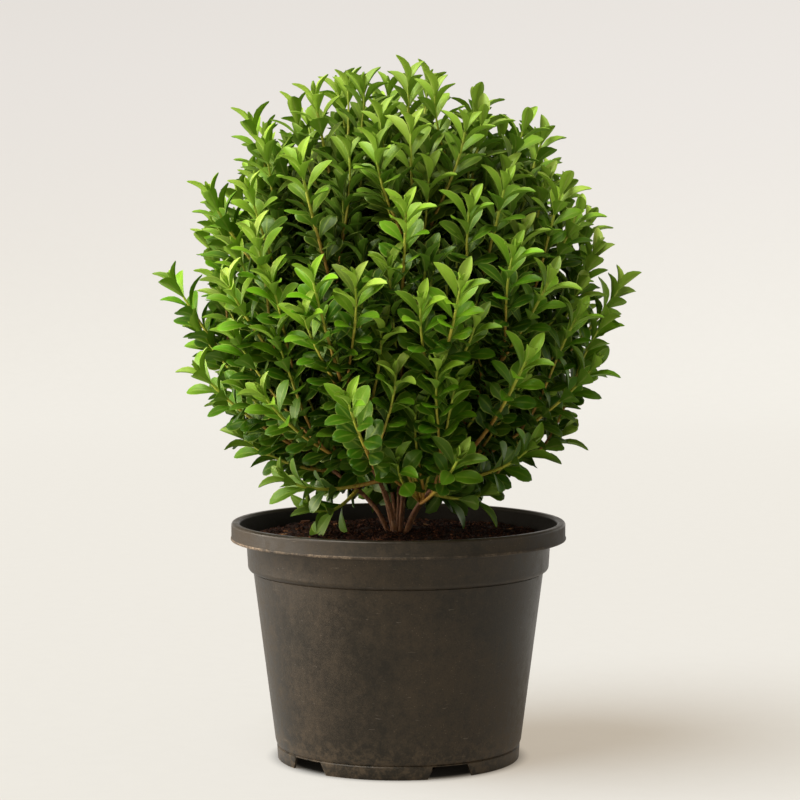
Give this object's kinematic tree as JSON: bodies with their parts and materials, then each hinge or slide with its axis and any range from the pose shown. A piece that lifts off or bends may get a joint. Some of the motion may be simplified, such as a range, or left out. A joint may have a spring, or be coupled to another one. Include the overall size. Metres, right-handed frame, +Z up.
{
  "type": "potted boxwood",
  "caption": "Ball-shaped boxwood of leafy shoots on thin woody stems, rooted in soil in a tapered plastic nursery pot with a rolled rim and a notched foot ring.",
  "frame": {"origin": "on the pot's axis, on the surface that the feet stand on", "axes": "+Z up along the pot's axis and the plant's height, -Y towards the front, +X to the right seen from the front"},
  "size_m": [0.3139, 0.3056, 0.47],
  "materials": {
    "pot_plastic": "matte",
    "soil": "matte",
    "bark": "matte",
    "foliage": "satin"
  },
  "bodies": {
    "root": {"nursery_pot": "pot_plastic", "potting_soil": "soil", "root_crown": "bark", "woody_stem_1": "bark", "woody_stem_2": "bark", "woody_stem_3": "bark", "woody_stem_4": "bark", "woody_stem_5": "bark", "woody_stem_6": "bark", "woody_stem_7": "bark", "woody_stem_8": "bark", "woody_stem_9": "bark", "leafy_shoot_01": "foliage", "leafy_shoot_02": "foliage", "leafy_shoot_03": "foliage", "leafy_shoot_04": "foliage", "leafy_shoot_05": "foliage", "leafy_shoot_06": "foliage", "leafy_shoot_07": "foliage", "leafy_shoot_08": "foliage", "leafy_shoot_09": "foliage", "leafy_shoot_10": "foliage", "leafy_shoot_11": "foliage", "leafy_shoot_12": "foliage", "leafy_shoot_13": "foliage", "leafy_shoot_14": "foliage", "leafy_shoot_15": "foliage", "leafy_shoot_16": "foliage", "leafy_shoot_17": "foliage", "leafy_shoot_18": "foliage", "leafy_shoot_19": "foliage", "leafy_shoot_20": "foliage", "leafy_shoot_21": "foliage", "leafy_shoot_22": "foliage", "leafy_shoot_23": "foliage", "leafy_shoot_24": "foliage", "leafy_shoot_25": "foliage", "leafy_shoot_26": "foliage", "leafy_shoot_27": "foliage", "leafy_shoot_28": "foliage", "leafy_shoot_29": "foliage", "leafy_shoot_30": "foliage", "leafy_shoot_31": "foliage", "leafy_shoot_32": "foliage", "leafy_shoot_33": "foliage", "leafy_shoot_34": "foliage", "leafy_shoot_35": "foliage", "leafy_shoot_36": "foliage", "leafy_shoot_37": "foliage", "leafy_shoot_38": "foliage", "leafy_shoot_39": "foliage", "leafy_shoot_40": "foliage", "leafy_shoot_41": "foliage", "leafy_shoot_42": "foliage", "leafy_shoot_43": "foliage"}
  },
  "joints": []
}
